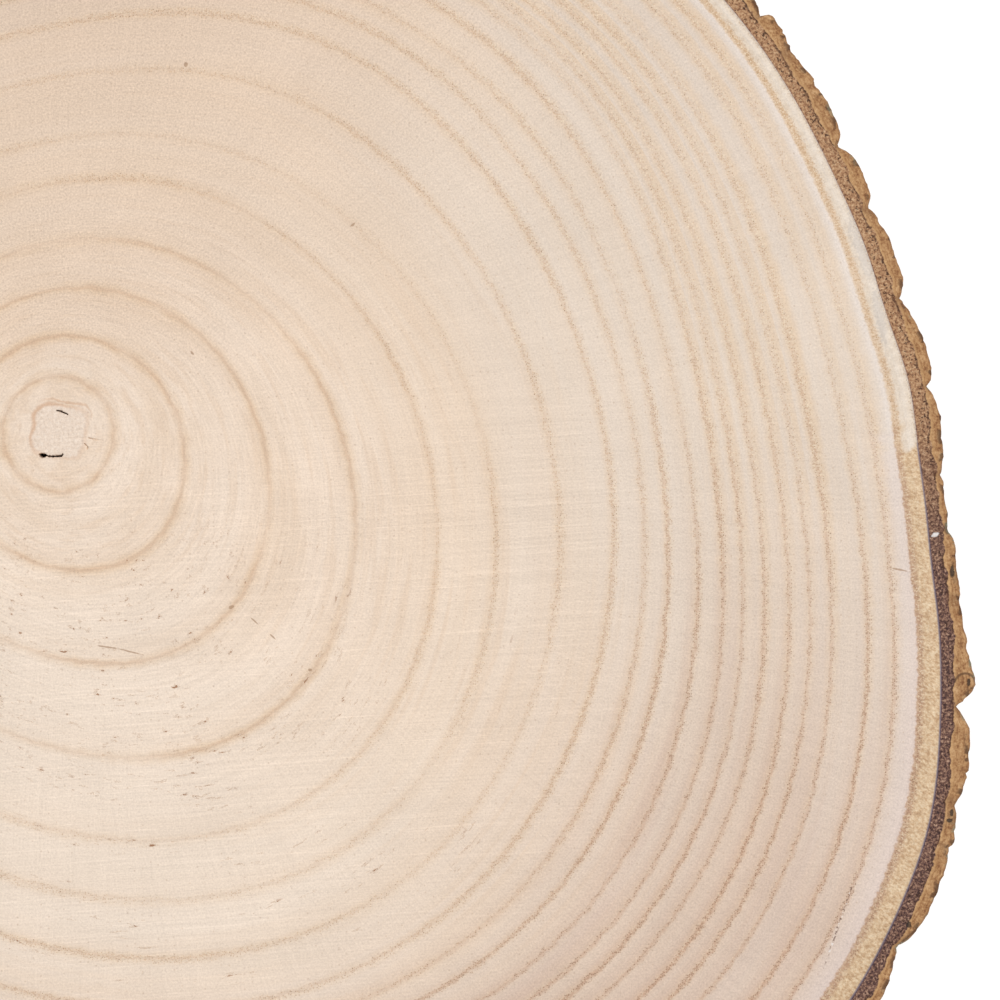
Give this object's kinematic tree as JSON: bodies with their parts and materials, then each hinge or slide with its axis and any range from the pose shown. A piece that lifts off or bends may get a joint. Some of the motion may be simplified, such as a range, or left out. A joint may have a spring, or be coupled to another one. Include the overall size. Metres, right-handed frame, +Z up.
{
  "type": "wood slice",
  "caption": "Round crosscut slice of a hardwood trunk with pale ringed faces, an off-centre pith and its rough bark left on the edge.",
  "frame": {"origin": "middle of the underside's box, on the surface that the slice lies on", "axes": "+Z up through the thickness, along the trunk's grain; +X from the pith towards the side where the bark is thinnest and the rings are close and even; +Y across the face"},
  "size_m": [0.2926, 0.283, 0.025],
  "materials": {
    "wood": "bare sanded end grain, matt",
    "bark": "rough dry bark, matt"
  },
  "bodies": {
    "root": {"wood_slice": "wood"}
  },
  "joints": []
}
